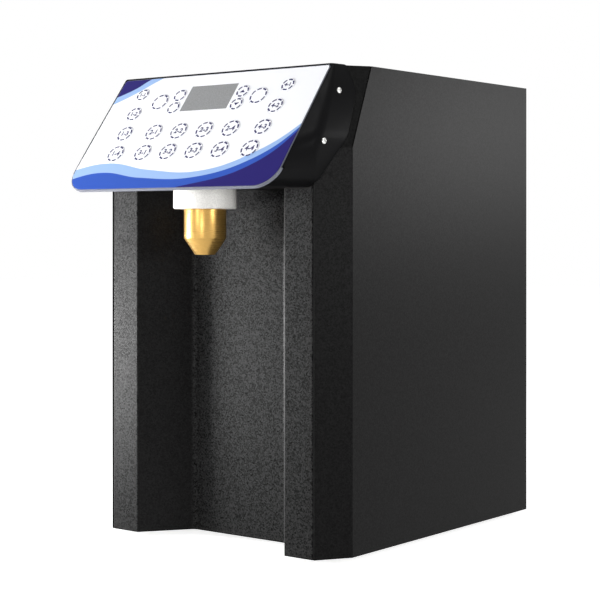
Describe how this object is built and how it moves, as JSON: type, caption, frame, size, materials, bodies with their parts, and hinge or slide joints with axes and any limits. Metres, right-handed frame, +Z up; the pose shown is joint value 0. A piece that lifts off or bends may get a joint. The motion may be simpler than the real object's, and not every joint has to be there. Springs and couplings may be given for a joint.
{
  "type": "fructose dispenser",
  "caption": "Counter-top syrup dispenser: folded casing with a cup bay, sloping key panel, brass nozzle, lidded tank and gear pump.",
  "frame": {"origin": "centre of the part's box at the height of the counter that its feet stand on", "axes": "+X to the right seen from the front, +Y from the key panel to the back, +Z up"},
  "size_m": [0.281, 0.4, 0.456],
  "materials": {
    "sand_powder_coat": "fine sand texture powder coat",
    "smooth_powder_coat": "smooth matte powder coat",
    "foot_rubber": "matte",
    "shelf_steel": "galvanised",
    "stainless_steel": "brushed",
    "jacket_foam": "closed cell foam",
    "heater_silicone": "moulded silicone",
    "knob_phenolic": "polished",
    "housing_abs": "moulded satin",
    "plate_grey": "moulded satin",
    "overlay_film": "printed polyester film",
    "key_film": "printed polyester film",
    "window_grey": "grey display window",
    "module_black": "moulded",
    "board_green": "solder mask",
    "switch_black": "moulded",
    "collar_white": "turned acetal",
    "nozzle_brass": "turned and polished",
    "pump_brass": "cast and machined",
    "gear_steel": "cut and ground",
    "motor_zinc": "zinc plated",
    "hose_silicone": "milky silicone",
    "supply_aluminium": "folded and pierced",
    "inlet_plastic": "moulded",
    "drawer_plastic": "moulded",
    "rocker_plastic": "moulded",
    "bright_screws": "nickel plated"
  },
  "bodies": {
    "casing": {"front_panel": "sand_powder_coat", "left_side_panel": "smooth_powder_coat", "right_side_panel": "smooth_powder_coat", "rear_panel": "smooth_powder_coat", "base_plate": "smooth_powder_coat", "top_deck": "smooth_powder_coat", "rubber_feet": "foot_rubber", "tank_shelf": "shelf_steel", "syrup_tank": "stainless_steel", "tank_jacket": "jacket_foam", "tank_heater": "heater_silicone", "temperature_probe": "stainless_steel", "control_housing": "housing_abs", "panel_plate": "plate_grey", "keypad_overlay": "overlay_film", "display_window": "window_grey", "display_module": "module_black", "control_board": "board_green", "key_switches": "switch_black", "nozzle_collar": "collar_white", "nozzle_body": "nozzle_brass", "valve_spring": "stainless_steel", "pump_body": "pump_brass", "pump_cover": "pump_brass", "pump_motor": "motor_zinc", "suction_hose": "hose_silicone", "outlet_hose": "hose_silicone", "power_supply": "supply_aluminium", "power_inlet": "inlet_plastic", "side_screws": "bright_screws", "casing_screws": "bright_screws"},
    "lid": {"tank_lid": "stainless_steel", "lid_knob": "knob_phenolic"},
    "rocker": {"power_rocker": "rocker_plastic"},
    "drawer": {"fuse_drawer": "drawer_plastic"},
    "drive": {"drive_gear": "gear_steel"},
    "driven": {"driven_gear": "gear_steel"},
    "ball": {"valve_ball": "stainless_steel"},
    "key_1_1_body": {"key_1_1": "key_film"},
    "key_1_2_body": {"key_1_2": "key_film"},
    "key_1_3_body": {"key_1_3": "key_film"},
    "key_1_4_body": {"key_1_4": "key_film"},
    "key_2_1_body": {"key_2_1": "key_film"},
    "key_2_2_body": {"key_2_2": "key_film"},
    "key_2_3_body": {"key_2_3": "key_film"},
    "key_2_4_body": {"key_2_4": "key_film"},
    "key_3_1_body": {"key_3_1": "key_film"},
    "key_3_2_body": {"key_3_2": "key_film"},
    "key_3_3_body": {"key_3_3": "key_film"},
    "key_3_4_body": {"key_3_4": "key_film"},
    "key_4_1_body": {"key_4_1": "key_film"},
    "key_4_2_body": {"key_4_2": "key_film"},
    "key_4_3_body": {"key_4_3": "key_film"},
    "key_4_4_body": {"key_4_4": "key_film"},
    "key_clean_body": {"key_clean": "key_film"},
    "key_power_body": {"key_power": "key_film"},
    "key_mode_body": {"key_mode": "key_film"},
    "key_set_body": {"key_set": "key_film"},
    "key_up_body": {"key_up": "key_film"},
    "key_down_body": {"key_down": "key_film"}
  },
  "joints": [
    {"name": "lid_lift", "type": "slide", "parent": "casing", "child": "lid", "axis": [0, 0, 1], "range_m": [0, 0.12]},
    {"name": "rocker_tip", "type": "hinge", "parent": "casing", "child": "rocker", "pos_m": [0.085, 0.19262, 0.086], "axis": [1, 0, 0], "range_deg": [0, 16]},
    {"name": "drawer_pull", "type": "slide", "parent": "casing", "child": "drawer", "axis": [0, 1, 0], "range_m": [0, 0.02]},
    {"name": "drive_spin", "type": "hinge", "parent": "casing", "child": "drive", "pos_m": [0.012, 0.06362, 0.07], "axis": [0, 1, 0], "continuous": true},
    {"name": "driven_spin", "type": "hinge", "parent": "casing", "child": "driven", "pos_m": [-0.012, 0.06362, 0.07], "axis": [0, 1, 0], "continuous": true},
    {"name": "valve_open", "type": "slide", "parent": "casing", "child": "ball", "axis": [0, 0, -1], "range_m": [0, 0.003], "stiffness_N_per_m": 60, "springref_m": -0.01, "deforming": ["valve_spring"]},
    {"name": "key_1_1_press", "type": "slide", "parent": "casing", "child": "key_1_1_body", "axis": [0, 0.7938, -0.6081], "range_m": [0, 0.0005], "stiffness_N_per_m": 600},
    {"name": "key_1_2_press", "type": "slide", "parent": "casing", "child": "key_1_2_body", "axis": [0, 0.7938, -0.6081], "range_m": [0, 0.0005], "stiffness_N_per_m": 600},
    {"name": "key_1_3_press", "type": "slide", "parent": "casing", "child": "key_1_3_body", "axis": [0, 0.7938, -0.6081], "range_m": [0, 0.0005], "stiffness_N_per_m": 600},
    {"name": "key_1_4_press", "type": "slide", "parent": "casing", "child": "key_1_4_body", "axis": [0, 0.7938, -0.6081], "range_m": [0, 0.0005], "stiffness_N_per_m": 600},
    {"name": "key_2_1_press", "type": "slide", "parent": "casing", "child": "key_2_1_body", "axis": [0, 0.7938, -0.6081], "range_m": [0, 0.0005], "stiffness_N_per_m": 600},
    {"name": "key_2_2_press", "type": "slide", "parent": "casing", "child": "key_2_2_body", "axis": [0, 0.7938, -0.6081], "range_m": [0, 0.0005], "stiffness_N_per_m": 600},
    {"name": "key_2_3_press", "type": "slide", "parent": "casing", "child": "key_2_3_body", "axis": [0, 0.7938, -0.6081], "range_m": [0, 0.0005], "stiffness_N_per_m": 600},
    {"name": "key_2_4_press", "type": "slide", "parent": "casing", "child": "key_2_4_body", "axis": [0, 0.7938, -0.6081], "range_m": [0, 0.0005], "stiffness_N_per_m": 600},
    {"name": "key_3_1_press", "type": "slide", "parent": "casing", "child": "key_3_1_body", "axis": [0, 0.7938, -0.6081], "range_m": [0, 0.0005], "stiffness_N_per_m": 600},
    {"name": "key_3_2_press", "type": "slide", "parent": "casing", "child": "key_3_2_body", "axis": [0, 0.7938, -0.6081], "range_m": [0, 0.0005], "stiffness_N_per_m": 600},
    {"name": "key_3_3_press", "type": "slide", "parent": "casing", "child": "key_3_3_body", "axis": [0, 0.7938, -0.6081], "range_m": [0, 0.0005], "stiffness_N_per_m": 600},
    {"name": "key_3_4_press", "type": "slide", "parent": "casing", "child": "key_3_4_body", "axis": [0, 0.7938, -0.6081], "range_m": [0, 0.0005], "stiffness_N_per_m": 600},
    {"name": "key_4_1_press", "type": "slide", "parent": "casing", "child": "key_4_1_body", "axis": [0, 0.7938, -0.6081], "range_m": [0, 0.0005], "stiffness_N_per_m": 600},
    {"name": "key_4_2_press", "type": "slide", "parent": "casing", "child": "key_4_2_body", "axis": [0, 0.7938, -0.6081], "range_m": [0, 0.0005], "stiffness_N_per_m": 600},
    {"name": "key_4_3_press", "type": "slide", "parent": "casing", "child": "key_4_3_body", "axis": [0, 0.7938, -0.6081], "range_m": [0, 0.0005], "stiffness_N_per_m": 600},
    {"name": "key_4_4_press", "type": "slide", "parent": "casing", "child": "key_4_4_body", "axis": [0, 0.7938, -0.6081], "range_m": [0, 0.0005], "stiffness_N_per_m": 600},
    {"name": "key_clean_press", "type": "slide", "parent": "casing", "child": "key_clean_body", "axis": [0, 0.7938, -0.6081], "range_m": [0, 0.0005], "stiffness_N_per_m": 600},
    {"name": "key_power_press", "type": "slide", "parent": "casing", "child": "key_power_body", "axis": [0, 0.7938, -0.6081], "range_m": [0, 0.0005], "stiffness_N_per_m": 600},
    {"name": "key_mode_press", "type": "slide", "parent": "casing", "child": "key_mode_body", "axis": [0, 0.7938, -0.6081], "range_m": [0, 0.0005], "stiffness_N_per_m": 600},
    {"name": "key_set_press", "type": "slide", "parent": "casing", "child": "key_set_body", "axis": [0, 0.7938, -0.6081], "range_m": [0, 0.0005], "stiffness_N_per_m": 600},
    {"name": "key_up_press", "type": "slide", "parent": "casing", "child": "key_up_body", "axis": [0, 0.7938, -0.6081], "range_m": [0, 0.0005], "stiffness_N_per_m": 600},
    {"name": "key_down_press", "type": "slide", "parent": "casing", "child": "key_down_body", "axis": [0, 0.7938, -0.6081], "range_m": [0, 0.0005], "stiffness_N_per_m": 600}
  ],
  "couplings": [
    {"joint": "driven_spin", "follows": "drive_spin", "ratio": -1}
  ]
}
